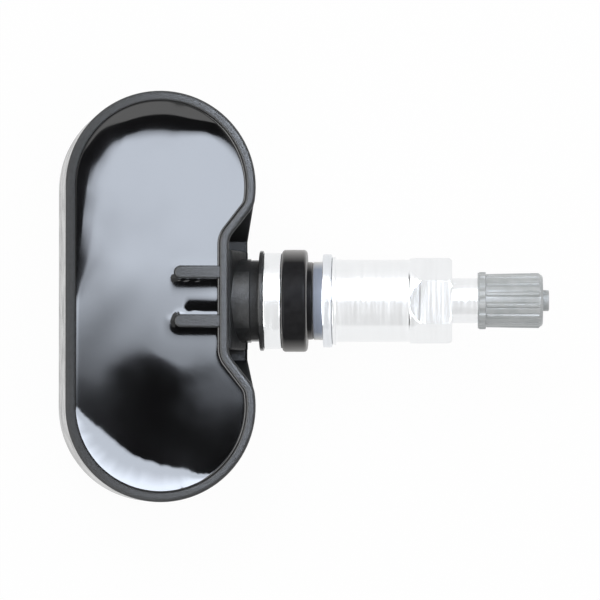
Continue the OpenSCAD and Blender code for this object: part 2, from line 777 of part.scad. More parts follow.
// Ribbed plastic cap with a skirt and a nub
module valve_cap() color(cap_grey) on_valve() {
    bore_r = cap_thread_r + running_gap;
    rotate_extrude() difference() {
        union() {
            translate([0, cap_s]) square([cap_r, cap_l - cap_round]);
            translate([0, cap_s]) square([cap_r - cap_round, cap_l]);
            translate([cap_r - cap_round, cap_top_s - cap_round]) circle(cap_round);
            translate([0, cap_s + nut_bevel / 2]) square([skirt_r, skirt_w - nut_bevel / 2]);
            translate([0, cap_s]) square([skirt_r - nut_bevel / 2, skirt_w]);
            translate([0, cap_s + cap_l - overlap]) square([nub_r, nub_l + overlap]);
        }
        translate([0, cap_s - overlap]) square([bore_r, cap_l - cap_end_t + overlap]);
        translate([-cap_l, 0]) square([cap_l, 2 * cap_top_s]);
    }
    for (i = [0:cap_ribs - 1]) rotate([0, 0, 360 * (i + 0.5) / cap_ribs]) {
        translate([cap_r - overlap / 2, -cap_rib_w / 2, cap_s + skirt_w - overlap / 2]) {
            cube([cap_rib_h + overlap / 2, cap_rib_w, cap_l - skirt_w - cap_round + overlap / 2]);
        }
    }
}

// Rubber disc in the roof of the cap
module cap_seal() color(rubber) on_valve() {
    translate([0, 0, stem_end_s + end_gap]) cylinder(h = cap_seal_t, r = cap_thread_r);
}

housing();
potting_compound();
circuit_board();
battery_cell();
battery_tab_positive();
battery_tab_negative();
sensor_chip();
sensor_port_seal();
transmitter_chip();
crystal();
lf_coil_core();
lf_coil_winding();
rf_antenna();
chip_capacitors();
chip_resistors();
valve_stem();
rim_grommet();
nut_washer();
hex_nut();
core_body();
core_seal_ring();
core_pin();
core_spring();
core_cup();
core_cup_seal();
valve_cap();
cap_seal();
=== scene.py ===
import json
import math

import bmesh
import bpy
import numpy as np
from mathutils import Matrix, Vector


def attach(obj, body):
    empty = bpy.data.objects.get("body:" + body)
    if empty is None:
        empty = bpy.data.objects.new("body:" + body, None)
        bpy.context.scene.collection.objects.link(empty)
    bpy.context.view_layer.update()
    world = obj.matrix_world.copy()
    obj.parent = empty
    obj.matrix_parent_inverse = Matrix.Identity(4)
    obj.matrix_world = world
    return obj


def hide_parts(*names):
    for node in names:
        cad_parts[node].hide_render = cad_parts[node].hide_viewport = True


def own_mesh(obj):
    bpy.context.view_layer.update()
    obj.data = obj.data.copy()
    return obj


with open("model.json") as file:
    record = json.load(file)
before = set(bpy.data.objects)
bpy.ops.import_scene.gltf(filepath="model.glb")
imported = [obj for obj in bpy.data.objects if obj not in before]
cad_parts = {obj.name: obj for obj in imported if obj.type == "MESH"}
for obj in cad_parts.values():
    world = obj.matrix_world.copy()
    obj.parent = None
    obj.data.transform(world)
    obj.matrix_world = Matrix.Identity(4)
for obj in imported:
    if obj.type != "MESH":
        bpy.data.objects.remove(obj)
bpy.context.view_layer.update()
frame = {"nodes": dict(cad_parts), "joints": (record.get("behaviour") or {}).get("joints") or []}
scene = bpy.context.scene
mm = 0.001
print("frame loaded:", len(frame["nodes"]), "nodes")

# The valve's axis, and the two directions across it: over the tub's width, and up from its open face
valveAxis = np.array(next(j["axis"] for j in frame["joints"] if j["name"] == "nut_turn"), float)
acrossValve = np.array([0.0, 1.0, 0.0])
aboveValve = np.cross(valveAxis, acrossValve)
valveTilt = math.atan2(valveAxis[2], valveAxis[0])


# The camera, the light and the floor

view = {
    "target": (-0.00131, 0.00014, 0.0), "distance": 0.8, "lens": 279.9, "sensor": 36.0, "clipStart": 0.01,
    # degrees off straight down, towards the tub's back and towards -Y
    "tilt": (7.0, 1.8),
}
sky = {"level": 0.86, "shade": 0.8, "shadeFrom": -0.8, "shadeTo": 0.5}
floor = {"reach": 3.0, "height": -0.01002, "whiteShare": 0.96, "colour": (0.94, 0.94, 0.94, 1.0)}
keyLamp = {"place": (-0.25, 0.55, 0.6), "aim": (0.0, 0.0, 0.0), "size": (0.4, 0.4), "power": 1.6}
plainWhite = (1.0, 1.0, 1.0, 1.0)


def addCamera():
    # The camera stands on the line through the target that leans by both tilts, and looks back along it
    lean, sideLean = (math.radians(angle) for angle in view["tilt"])
    level = math.cos(sideLean)
    away = Vector((-math.sin(lean) * level, -math.sin(sideLean), math.cos(lean) * level))
    camera = bpy.data.objects.new("camera", bpy.data.cameras.new("camera"))
    camera.data.sensor_width = view["sensor"]
    camera.data.lens = view["lens"]
    camera.data.clip_start = view["clipStart"]
    camera.location = Vector(view["target"]) + away * view["distance"]
    camera.rotation_euler = (sideLean, -lean, 0.0)
    scene.collection.objects.link(camera)
    scene.camera = camera


def addNode(tree, kind, inputs=(), **settings):
    # One shader node with its settings, then the values of its inputs
    node = tree.nodes.new(kind)
    for name, value in settings.items():
        setattr(node, name, value)
    for socket, value in dict(inputs).items():
        node.inputs[socket].default_value = value
    return node


def emptyTree(owner):
    # The node tree of a material or a world, with nothing in it
    owner.use_nodes = True
    owner.node_tree.nodes.clear()
    return owner.node_tree


def mathOn(tree, operation, *values):
    # The sum, product or greater of two values, each of them a number or another node's output
    node = addNode(tree, "ShaderNodeMath", operation=operation)
    for socket, value in zip(node.inputs, values):
        if isinstance(value, float):
            socket.default_value = value
        else:
            tree.links.new(value, socket)
    return node.outputs[0]


def stepOn(tree, value, low, high, start=0.0, end=1.0, kind="SMOOTHSTEP"):
    # Goes from start to end while the value goes from low to high
    ends = {"From Min": low, "From Max": high, "To Min": start, "To Max": end}
    node = addNode(tree, "ShaderNodeMapRange", ends, interpolation_type=kind)
    tree.links.new(value, node.inputs["Value"])
    return node.outputs["Result"]


def coordinate(tree, axis, space="Object"):
    # Where the seen place lies along one axis
    place = addNode(tree, "ShaderNodeTexCoord")
    split = addNode(tree, "ShaderNodeSeparateXYZ")
    tree.links.new(place.outputs[space], split.inputs[0])
    return split.outputs[axis]


def seenRays(tree):
    # 1 for the camera's own rays, for reflections and through glass, else 0: the greatest of the three
    path = addNode(tree, "ShaderNodeLightPath").outputs
    both = mathOn(tree, "MAXIMUM", path["Is Camera Ray"], path["Is Glossy Ray"])
    return mathOn(tree, "MAXIMUM", both, path["Is Transmission Ray"])


def showMix(tree, share, first, second, outKind):
    # Puts out the first shader with a share of the second
    mix = addNode(tree, "ShaderNodeMixShader")
    for socket, source in zip(mix.inputs, (share, first.outputs[0], second.outputs[0])):
        tree.links.new(source, socket)
    tree.links.new(mix.outputs[0], addNode(tree, outKind).inputs["Surface"])


def addSky():
    # Towards +Y the sky has its full level, and towards -Y it falls to shade times that. The camera,
    # reflections and glass see plain white.
    world = bpy.data.worlds.new("studio")
    tree = emptyTree(world)
    side = stepOn(tree, coordinate(tree, "Y", "Generated"), sky["shadeFrom"], sky["shadeTo"], sky["shade"])
    lit = addNode(tree, "ShaderNodeBackground", {"Color": plainWhite})
    tree.links.new(mathOn(tree, "MULTIPLY", side, sky["level"]), lit.inputs["Strength"])
    shown = addNode(tree, "ShaderNodeBackground", {"Color": plainWhite})
    showMix(tree, seenRays(tree), lit, shown, "ShaderNodeOutputWorld")
    scene.world = world


def addSoftLight(name, place, aim, size, power):
    # A square lamp at place that faces aim
    lamp = bpy.data.lights.new(name, "AREA")
    lamp.shape = "RECTANGLE"
    lamp.size, lamp.size_y = size
    lamp.energy = power
    obj = bpy.data.objects.new(name, lamp)
    obj.location = place
    obj.rotation_euler = (Vector(aim) - Vector(place)).to_track_quat("-Z", "Y").to_euler()
    scene.collection.objects.link(obj)


def planeMesh(name, low, high, height):
    # A level rectangle between two corners
    (x0, y0), (x1, y1) = low, high
    mesh = bpy.data.meshes.new(name)
    corners = [(x, y, height) for x, y in ((x0, y0), (x1, y0), (x1, y1), (x0, y1))]
    mesh.from_pydata(corners, [], [(0, 1, 2, 3)])
    obj = bpy.data.objects.new(name, mesh)
    scene.collection.objects.link(obj)
    return obj


def addFloor():
    # White card: the camera and reflections see mostly its own white, with a share of the lit card,
    # which keeps the shadow
    obj = planeMesh("floor", (-floor["reach"],) * 2, (floor["reach"],) * 2, floor["height"])
    material = bpy.data.materials.new("floor_card")
    tree = emptyTree(material)
    card = addNode(tree, "ShaderNodeBsdfDiffuse", {"Color": floor["colour"]})
    white = addNode(tree, "ShaderNodeEmission", {"Color": plainWhite})
    share = mathOn(tree, "MULTIPLY", seenRays(tree), floor["whiteShare"])
    showMix(tree, share, card, white, "ShaderNodeOutputMaterial")
    obj.data.materials.append(material)


# Cards over the camera that only reflections see, as low and high corners in metres and a lift off the
# cards' height. The softbox makes the potting's pale shape. The two flags are black: one lies past the
# softbox, the other hides its lower right corner. Dim, white, grey and left light the metal and the walls.
cardHeight = 1.0
cards = {
    "softbox": {"low": (0.02, -0.03), "high": (0.75, 0.63), "colour": (0.86, 0.935, 1.06, 1.0), "soft": {
        "rises": [(0.0115, 0.0135, 6.2), (0.0135, 0.052, 8.3), (0.13, 0.40, 10.5)],
        "drop": (0.064, 0.088, 0.0135), "dropEnd": (0.11, 0.14)}},
    "flag": {"low": (0.01, -0.15), "high": (0.9, -0.02), "lift": 0.002},
    "side_flag": {"low": (0.3, -0.15), "high": (0.9, 0.10), "lift": -0.002},
    "dim": {"low": (0.01, -0.77), "high": (0.6, -0.15), "strength": 2.4},
    "white": {"low": (-0.8, 0.032), "high": (0.02, 1.6), "strength": 1.3},
    "grey": {"low": (-0.8, -4.0), "high": (0.01, 0.032), "strength": 0.78},
    "left": {"low": (-3.0, -2.5), "high": (-0.8, 1.2), "strength": 9.0},
}


def softStrength(tree, rises, drop, dropEnd):
    # The light comes up along Y, by each rise's amount between its two places. Between the drop's two
    # places along X all of this moves down Y by the drop's third value, and back between dropEnd's two.
    x = coordinate(tree, "X")
    down = stepOn(tree, x, drop[0], drop[1], 0.0, drop[2])
    along = mathOn(tree, "ADD", coordinate(tree, "Y"),
                   mathOn(tree, "MULTIPLY", down, stepOn(tree, x, dropEnd[0], dropEnd[1], 1.0, 0.0)))
    total = 0.0
    for first, last, amount in rises:
        total = mathOn(tree, "ADD", total, stepOn(tree, along, first, last, 0.0, amount))
    return total


def addCard(name, low, high, lift=0.0, strength=0.0, colour=plainWhite, soft=None):
    # A level card with one strength, which is black at 0, or with a soft strength that differs over it
    obj = planeMesh(name, low, high, cardHeight + lift)
    material = bpy.data.materials.new(name)
    tree = emptyTree(material)
    glow = addNode(tree, "ShaderNodeEmission", {"Color": colour, "Strength": strength})
    if soft:
        tree.links.new(softStrength(tree, **soft), glow.inputs["Strength"])
    tree.links.new(glow.outputs[0], addNode(tree, "ShaderNodeOutputMaterial").inputs["Surface"])
    obj.data.materials.append(material)
    obj.visible_camera = obj.visible_diffuse = obj.visible_transmission = obj.visible_shadow = False


addCamera()
addSky()
addFloor()
addSoftLight("key_lamp", **keyLamp)
for cardName, card in cards.items():
    addCard(cardName + "_card", **card)
scene.view_settings.view_transform = "Standard"
print("camera, light and floor set")


# Mesh helpers, in millimetres: a part is (points, quads, caps)

# sides of a turned part, points of an arc and of a slab's rounded edge, the distance from an arc to its
# guard point, the most of a side that an arc takes, and the greatest cosine of a corner
rounding = {"columns": 128, "arc": 6, "edge": 5, "guard": 0.06, "most": 0.49, "limit": 0.9999}


def gridQuads(rows, columns, loopRows):
    # Each cell of a grid of rows by columns becomes one four-sided face, and each row closes on itself
    i = np.arange(rows if loopRows else rows - 1)[:, None]
    j = np.arange(columns)[None, :]
    nextRow, nextColumn = (i + 1) % rows, (j + 1) % columns
    cells = ((i, j), (i, nextColumn), (nextRow, nextColumn), (nextRow, j))
    corners = [row * columns + column for row, column in cells]
    return np.stack(np.broadcast_arrays(*corners), -1).reshape(-1, 4)


def gridPart(points, loopRows=False, capped=True):
    # A grid of points whose rows close on themselves, with its first and last rows capped if open
    rows, columns = points.shape[:2]
    caps = []
    if not loopRows and capped:
        caps = [np.arange(columns), np.arange(columns)[::-1] + (rows - 1) * columns]
    return points.reshape(-1, 3), gridQuads(rows, columns, loopRows), caps


def joinParts(*parts):
    # Lists the parts' points one after the other and moves each part's face numbers up to match
    starts = np.cumsum([0] + [len(points) for points, _, _ in parts])
    points = np.concatenate([part[0] for part in parts])
    quads = np.concatenate([part[1] + start for part, start in zip(parts, starts)])
    caps = [cap + start for part, start in zip(parts, starts) for cap in part[2]]
    return points, quads, caps


def roundedProfile(points, radii, closed=True):
    # Every corner becomes an arc that touches both its sides, with a guard point just past each end of
    # the arc that keeps the flats' shading flat. An open line keeps its two end points.
    points = np.array(points, float)
    radii = np.broadcast_to(np.array(radii, float), len(points))
    toLast = np.roll(points, 1, 0) - points
    toNext = np.roll(points, -1, 0) - points
    lastLength = np.linalg.norm(toLast, axis=1, keepdims=True)
    nextLength = np.linalg.norm(toNext, axis=1, keepdims=True)
    toLast, toNext = toLast / lastLength, toNext / nextLength
    half = 0.5 * np.arccos(np.clip((toLast * toNext).sum(1), -rounding["limit"], rounding["limit"]))[:, None]
    reach = radii[:, None] / np.tan(half)
    middle = toLast + toNext
    centre = points + middle / np.linalg.norm(middle, axis=1, keepdims=True) * radii[:, None] / np.sin(half)
    start, end = points + toLast * reach - centre, points + toNext * reach - centre
    sweep = np.pi - 2 * half
    t = np.linspace(0, 1, rounding["arc"])[None, :, None]
    arc = np.sin((1 - t) * sweep[:, None]) * start[:, None] + np.sin(t * sweep[:, None]) * end[:, None]
    arc = centre[:, None] + arc / np.sin(sweep)[:, None]
    before = points + toLast * np.minimum(reach + rounding["guard"], rounding["most"] * lastLength)
    after = points + toNext * np.minimum(reach + rounding["guard"], rounding["most"] * nextLength)
    line = np.concatenate([before[:, None], arc, after[:, None]], 1)
    if closed:
        return line.reshape(-1, 2)
    return np.concatenate([points[:1], line[1:-1].reshape(-1, 2), points[-1:]])


def turnedPoints(s, r, columns):
    # Point at s along the valve's axis and r from it, at even angles round it. r may differ by angle.
    angles = np.arange(columns) * 2 * np.pi / columns
    spoke = np.outer(np.sin(angles), acrossValve) - np.outer(np.cos(angles), aboveValve)
    r = np.broadcast_to(r[:, None] if r.ndim == 1 else r, (len(s), columns))
    return s[:, None, None] * valveAxis + r[:, :, None] * spoke[None]


def turnedPart(profile, closed=True):
    # The profile, pairs of distance along the axis and radius, carried round the valve's axis
    points = turnedPoints(profile[:, 0], profile[:, 1], rounding["columns"])
    return gridPart(points, loopRows=closed, capped=not closed)


def raisedLoop(loop, *heights):
    # A flat loop once at each height
    return np.stack([np.concatenate([loop, np.full((len(loop), 1), z)], 1) for z in heights])


def offsetLoop(loop, distance):
    # Moves each point of a closed flat loop inwards along the mean of its two sides' normals
    ahead = np.roll(loop, -1, 0) - loop
    ahead /= np.linalg.norm(ahead, axis=1, keepdims=True)
    along = ahead + np.roll(ahead, 1, 0)
    along /= np.linalg.norm(along, axis=1, keepdims=True)
    return loop + distance * np.stack([-along[:, 1], along[:, 0]], 1)


def slabPart(loop, low, high, edge, axes=(0, 1, 2)):
    # A flat loop carried from low to high, its far edge rounded: the loop shrinks by edge*(1-cos) while
    # it climbs by edge*sin. axes says which coordinate each of the loop's two and the height becomes.
    turn = np.linspace(0, np.pi / 2, rounding["edge"])
    insets = np.concatenate([[0.0, 0.0], edge * (1 - np.cos(turn)), [edge + rounding["guard"]]])
    foot = high - edge
    heights = np.concatenate([[low, foot - rounding["guard"]], foot + edge * np.sin(turn), [high]])
    rings = np.stack([offsetLoop(loop, inset) for inset in insets])
    heights = np.broadcast_to(heights[:, None, None], rings.shape[:2] + (1,))
    points = np.concatenate([rings, heights], 2)[:, :, np.argsort(axes)]
    return gridPart(points)


def addPiece(name, part, material, body, nodes, sharp=35.0):
    # One object from a part: millimetres to metres, faces outwards, smooth but for edges over sharp degrees
    points, quads, caps = part
    mesh = bpy.data.meshes.new(name)
    mesh.from_pydata((points * mm).tolist(), [], quads.tolist() + [cap.tolist() for cap in caps])
    shell = bmesh.new()
    shell.from_mesh(mesh)
    bmesh.ops.recalc_face_normals(shell, faces=shell.faces)
    shell.to_mesh(mesh)
    shell.free()
    mesh.shade_smooth()
    mesh.set_sharp_from_angle(angle=math.radians(sharp))
    obj = bpy.data.objects.new(name, mesh)
    scene.collection.objects.link(obj)
    mesh.materials.append(material)
    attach(obj, body)
    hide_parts(*nodes)
    return obj


def fillSlot(obj, material, chosen):
    # Adds a material and gives it to the faces that chosen picks by their centres and normals
    count = len(obj.data.polygons)
    centres, normals = np.empty(count * 3), np.empty(count * 3)
    index = np.empty(count, np.int32)
    obj.data.polygons.foreach_get("center", centres)
    obj.data.polygons.foreach_get("normal", normals)
    obj.data.polygons.foreach_get("material_index", index)
    obj.data.materials.append(material)
    picked = chosen(centres.reshape(-1, 3), normals.reshape(-1, 3))
    obj.data.polygons.foreach_set("material_index", np.where(picked, len(obj.data.materials) - 1, index))


# The materials

# the noise's detail and where it starts and stops to count, the coarse noise's share of the grain, and how
# far the roughness goes to each side of its middle
mottle = {"detail": 3.0, "low": 0.3, "high": 0.7, "coarse": 0.35, "smoother": 0.05, "rougher": 0.07,
          "leastRough": 0.02}


def noiseOn(tree, scale, stretch, turn):
    # Noise on Object coordinates, scale in patterns per millimetre, turned with the valve if asked
    place = addNode(tree, "ShaderNodeTexCoord")
    mapping = addNode(tree, "ShaderNodeMapping", {"Scale": tuple(scale / mm * k for k in stretch)})
    lay = addNode(tree, "ShaderNodeMapping", {"Rotation": (0.0, turn, 0.0)})
    noise = addNode(tree, "ShaderNodeTexNoise", {"Scale": 1.0, "Detail": mottle["detail"]})
    tree.links.new(place.outputs["Object"], lay.inputs["Vector"])
    tree.links.new(lay.outputs[0], mapping.inputs["Vector"])
    tree.links.new(mapping.outputs[0], noise.inputs["Vector"])
    return noise.outputs["Fac"]


def grained(name, dark, light, roughness, grain, height, metallic=0.0, specular=0.5,
            stretch=(1, 1, 1), turn=0.0, coat=0.0, paintedSheen=None, fade=None):
    # Two shades mottled by coarse noise, roughness that varies a little, and a fine grain that stands up
    # by height. A painted sheen is a paler colour, mixed in between two values of how much a face turns
    # from the eye: it stands in for the grazing reflection at a part's edges. A fade adds roughness at its
    # first place along X, in millimetres, and none at its second.
    material = bpy.data.materials.new(name)
    material.use_nodes = True
    tree = material.node_tree
    shader = tree.nodes["Principled BSDF"]
    for socket, value in (("Base Color", (*light, 1.0)), ("Roughness", roughness), ("Metallic", metallic),
                          ("Specular IOR Level", specular), ("Coat Weight", coat)):
        shader.inputs[socket].default_value = value
    mottling = noiseOn(tree, grain * mottle["coarse"], stretch, turn)
    ramp = addNode(tree, "ShaderNodeValToRGB")
    first, last = mottle["low"], mottle["high"]
    for element, place, shade in zip(ramp.color_ramp.elements, (first, last), (dark, light)):
        element.position, element.color = place, (*shade, 1.0)
    tree.links.new(mottling, ramp.inputs["Fac"])
    colour = ramp.outputs["Color"]
    least = max(roughness - mottle["smoother"], mottle["leastRough"])
    rough = stepOn(tree, mottling, first, last, least, roughness + mottle["rougher"], "LINEAR")
    bump = addNode(tree, "ShaderNodeBump", {"Strength": 1.0, "Distance": height * mm})
    tree.links.new(noiseOn(tree, grain, stretch, turn), bump.inputs["Height"])
    tree.links.new(bump.outputs["Normal"], shader.inputs["Normal"])
    if fade:
        added = stepOn(tree, coordinate(tree, "X"), fade[0] * mm, fade[1] * mm, fade[2], 0.0, "LINEAR")
        rough = mathOn(tree, "ADD", rough, added)
    # Painted sheen: a paler colour is mixed into the base colour where the face turns from the eye, in place
    # of the grazing reflection
    if paintedSheen:
        low, high, pale = paintedSheen
        facing = addNode(tree, "ShaderNodeLayerWeight", {"Blend": 0.5})
        mix = addNode(tree, "ShaderNodeMix", data_type="RGBA")
        turnedAway = stepOn(tree, facing.outputs["Facing"], low, high, kind="LINEAR")
        tree.links.new(turnedAway, mix.inputs["Factor"])
        tree.links.new(colour, mix.inputs["A"])
        mix.inputs["B"].default_value = (*pale, 1.0)
        colour = mix.outputs["Result"]
    tree.links.new(rough, shader.inputs["Roughness"])
    tree.links.new(colour, shader.inputs["Base Color"])
    return material


turned = {"stretch": (5.0, 0.3, 0.3), "turn": valveTilt}
drawn = {"stretch": (4.0, 0.3, 0.3), "turn": valveTilt}
finish = {
    "housing": grained("housing_plastic", (0.009, 0.0095, 0.01), (0.022, 0.023, 0.024), 0.38, 2.6, 0.05,
                       specular=0.4, fade=(-42.0, -12.0, 0.5)),
    "housing_wall": grained("housing_wall_plastic", (0.012, 0.0125, 0.013), (0.018, 0.0185, 0.019), 0.16,
                            0.8, 0.004, specular=0.36),
    # Painted shade: block, neck and shelf are darker and reflect less, for the shade in their recess under
    # the rim
    "housing_low_shaded": grained("housing_low_painted_shade", (0.008, 0.0085, 0.009), (0.014, 0.0145, 0.015), 0.5, 2.6,
                           0.04, specular=0.18),
    "potting": grained("potting_resin", (0.0055, 0.0055, 0.006), (0.007, 0.007, 0.0075), 0.04, 0.15, 0.0012),
    "stem": grained("satin_aluminium", (0.84, 0.85, 0.86), (0.87, 0.88, 0.89), 0.2, 1.2, 0.0012, 1.0,
                    **drawn),
    "nut": grained("turned_aluminium", (0.85, 0.86, 0.87), (0.88, 0.89, 0.9), 0.2, 1.2, 0.0012, 1.0,
                   **turned),
    "washer": grained("washer_steel", (0.72, 0.74, 0.77), (0.78, 0.8, 0.83), 0.22, 1.2, 0.0012, 1.0,
                      **turned),
    # Painted sheen on the sleeve: its blue-grey pales to cream towards its edges as seen, in place of the
    # grazing reflection
    "sleeve": grained("washer_sleeve_blue_grey", (0.22, 0.25, 0.31), (0.27, 0.30, 0.37), 0.45, 1.2, 0.003,
                      specular=0.1, paintedSheen=(0.4, 0.9, (0.8, 0.79, 0.76)), **turned),
    # Painted sheen on the grommet: its black pales to grey towards its edges as seen, in place of the
    # grazing reflection
    "grommet": grained("grommet_rubber", (0.008, 0.008, 0.009), (0.013, 0.013, 0.014), 0.4, 1.8, 0.008,
                       specular=0.06, paintedSheen=(0.34, 0.92, (0.42, 0.41, 0.4))),
    "rubber": grained("seal_rubber", (0.01, 0.01, 0.011), (0.017, 0.017, 0.018), 0.42, 1.8, 0.012),
    "cap": grained("cap_plastic", (0.36, 0.38, 0.385), (0.43, 0.445, 0.45), 0.34, 1.6, 0.006),
    "steel": grained("bright_steel", (0.6, 0.61, 0.62), (0.74, 0.75, 0.76), 0.28, 0.9, 0.004, 1.0),
    "brass": grained("turned_brass", (0.66, 0.5, 0.22), (0.8, 0.62, 0.3), 0.26, 1.2, 0.003, 1.0, **drawn),
    "board": grained("solder_mask", (0.01, 0.1, 0.04), (0.02, 0.17, 0.07), 0.35, 0.6, 0.01),
    "chip": grained("chip_resin", (0.014, 0.014, 0.015), (0.03, 0.03, 0.031), 0.55, 4.0, 0.01),
    "ferrite": grained("ferrite", (0.035, 0.035, 0.038), (0.07, 0.07, 0.075), 0.6, 3.0, 0.02, specular=0.6),
    "copper": grained("enamelled_wire", (0.48, 0.2, 0.09), (0.72, 0.34, 0.17), 0.3, 1.4, 0.05, 1.0,
                      stretch=(0.2, 5.0, 0.2), coat=0.4),
    "ceramic": grained("ceramic", (0.36, 0.27, 0.16), (0.52, 0.41, 0.27), 0.45, 2.0, 0.008),
}
# The CAD nodes that show as they are, by their finish
shownNodes = {
    "board": ["circuit_board"], "ceramic": ["chip_capacitors"],
    "steel": ["battery_cell", "battery_tab_positive", "battery_tab_negative", "crystal", "core_spring"],
    "chip": ["sensor_chip", "transmitter_chip", "chip_resistors"],
    "rubber": ["sensor_port_seal", "core_seal_ring", "core_cup_seal", "cap_seal"],
    "ferrite": ["lf_coil_core"], "copper": ["lf_coil_winding"],
    "brass": ["rf_antenna", "core_body", "core_pin", "core_cup"],
}
for look, names in shownNodes.items():
    for name in names:
        materials = frame["nodes"][name].data.materials
        materials.clear()
        materials.append(finish[look])
print("materials made")


# The housing: tub, shelf, block, neck and ribs

tub = {
    "lobeRadius": 16.2, "lobeGap": 37.4, "shift": 0.5, "backX": -42.05, "waistX": -14.25,
    "shoulderRadius": 4.0, "shoulderAngle": -8.0, "waistRadius": 3.0, "notchAngle": -37.8,
    "wall": 1.6, "base": -10.0, "floor": -8.4, "rim": 7.0, "backStep": 0.6,
    "portPlace": (-30.85, -13.7), "portRadius": 0.8, "portSides": 48, "portEdge": 0.15,
    # how far in the level rings of back and floor reach, and the length of a piece of the outline
    "levelInset": 3.0, "pieceLength": 0.5, "leastPieces": 8, "slopeLength": 3.0,
}


def directionOf(degrees):
    # Cosine and sine of an angle from +X
    angle = np.radians(degrees)
    return np.stack([np.cos(angle), np.sin(angle)], -1)


def outlinePoints(insets):
    # The tub's outline seen from above, once for each inset. Half of it is a fillet at the waist, a
    # shoulder and a lobe: arcs about fixed centres whose radius changes by the inset, joined by straight
    # lines. The other half mirrors it.
    insets = np.atleast_1d(np.array(insets, float))[:, None, None]
    lobe = np.array([tub["backX"] + tub["lobeRadius"], tub["lobeGap"] / 2])
    shoulder = lobe + (tub["lobeRadius"] - tub["shoulderRadius"]) * directionOf(tub["shoulderAngle"])
    slope = directionOf(tub["notchAngle"])
    filletX = tub["waistX"] + tub["waistRadius"]
    gap = filletX * slope[0] - shoulder @ slope - tub["shoulderRadius"] - tub["waistRadius"]
    fillet = np.array([filletX, gap / -slope[1]])

    def arc(centre, radius, first, last):
        # Points at even angles from the first to the last
        length = abs(np.radians(last - first)) * tub["lobeRadius"] / 2
        count = max(int(length / tub["pieceLength"]), tub["leastPieces"])
        return centre + radius * directionOf(np.linspace(first, last, count))[None]

    def line(start, end, length):
        # The middles of even pieces of a straight line
        count = int(length / tub["pieceLength"])
        t = (np.arange(count) + 0.5) / count
        return start + (end - start) * t[None, :, None]

    filletArc = arc(fillet, tub["waistRadius"] + insets, 180.0, 180.0 + tub["notchAngle"])
    shoulderArc = arc(shoulder, tub["shoulderRadius"] - insets, tub["notchAngle"], tub["shoulderAngle"])
    lobeArc = arc(lobe, tub["lobeRadius"] - insets, tub["shoulderAngle"], 180.0)[:, 1:]
    flat = np.array([1.0, 0.0])
    half = np.concatenate([
        line(filletArc[:, :1] * flat, filletArc[:, :1], fillet[1]),
        filletArc,
        line(filletArc[:, -1:], shoulderArc[:, :1], tub["slopeLength"]),
        shoulderArc,
        lobeArc,
        line(lobeArc[:, -1:], lobeArc[:, -1:] * flat, tub["lobeGap"] / 2),
    ], 1)
    loop = np.concatenate([half, half[:, ::-1] * [1.0, -1.0]], 1)
    return loop + [0.0, tub["shift"]]


def fillLevel(part, loops):
    # Fills the level region between two closed loops of a part's points with triangles
    points, quads, caps = part
    mesh = bmesh.new()
    edges, numbers = [], []
    for loop in loops:
        corners = [mesh.verts.new(points[k]) for k in loop]
        numbers.extend(loop)
        edges += [mesh.edges.new(pair) for pair in zip(corners, corners[1:] + corners[:1])]
    mesh.verts.index_update()
    bmesh.ops.triangle_fill(mesh, use_beauty=True, edges=edges)
    filled = [np.array([numbers[v.index] for v in face.verts]) for face in mesh.faces]
    mesh.free()
    return points, quads, caps + filled


def tubPart():
    # One closed surface: the outline carried up the outer wall, over the rounded rim, down the inner
    # wall and on to the floor, with the pressure port cut through the floor
    stepTop = tub["base"] + tub["backStep"]
    profile = roundedProfile([
        (tub["levelInset"], tub["base"]), (tub["backStep"], tub["base"]), (tub["backStep"], stepTop),
        (0.0, stepTop), (0.0, tub["rim"]), (tub["wall"], tub["rim"]), (tub["wall"], tub["floor"]),
        (tub["levelInset"], tub["floor"]),
    ], (0, 0.2, 0.15, 0.15, 0.7, 0.3, 0.3, 0), closed=False)
    rings = outlinePoints(profile[:, 0])
    heights = np.broadcast_to(profile[:, 1][:, None, None], rings.shape[:2] + (1,))
    shell = gridPart(np.concatenate([rings, heights], 2), capped=False)
    ringLength = rings.shape[1]
    sides = tub["portSides"]
    circle = tub["portRadius"] * directionOf(np.linspace(0, 360, sides, endpoint=False))
    circle = circle + np.array(tub["portPlace"]) + [0.0, tub["shift"]]
    port = raisedLoop(circle, tub["base"], tub["base"] + tub["portEdge"], tub["floor"])
    count = len(shell[0])
    part = joinParts(shell, gridPart(port, capped=False))
    part = fillLevel(part, [list(range(ringLength)), list(range(count, count + sides))])
    lastRing = list(range(count - ringLength, count))
    return fillLevel(part, [lastRing, list(range(count + 2 * sides, count + 3 * sides))])


waist = {
    "shelfTop": -3.0, "shelfEdge": -10.0, "shelfCorner": 10.1, "shelfPast": 0.5, "shelfRound": 0.1,
    "endTop": 6.4, "lobeAngle": -11.0, "edge": 0.35, "edgePieces": 16,
    "blockWidth": 17.2, "blockEdge": 0.45,
    "blockProfile": [(-15.05, -10.0), (-9.85, -10.0), (-9.85, -4.0), (-13.75, 5.3), (-15.05, 5.3)],
    "neckProfile": [(-17.45, 0.0), (-17.45, 7.2), (-9.65, 7.2), (-9.65, 7.0), (-8.15, 7.0), (-8.15, 8.6),
                    (-7.45, 8.6), (-7.45, 0.0)],
    "neckRadii": (0, 0.1, 0.08, 0.08, 0.2, 0.2, 0.2, 0), "blockRadii": (0.2, 0.3, 0.5, 0.9, 0.2),
    "ribCentres": (4.15, -4.15), "ribEnd": -23.55, "ribWidth": 2.2, "ribFoot": 3.0, "ribTop": 6.6,
    "ribEdge": 0.35, "ribPieces": 25,
    # the block, neck and shelf lie past the waist wall and below this height
    "lowPast": 0.05, "lowUnder": 6.0, "levelFrom": 0.3,
}


def shelfPart():
    # The level shelf under the neck: a rectangle carried up, its upper edges rounded
    back, front = tub["waistX"] - tub["wall"] / 2, waist["shelfEdge"]
    half = waist["shelfCorner"] + waist["shelfPast"]
    loop = roundedProfile([(back, -half), (front, -half), (front, half), (back, half)], waist["shelfRound"])
    return slabPart(loop, tub["base"], waist["shelfTop"], waist["edge"])


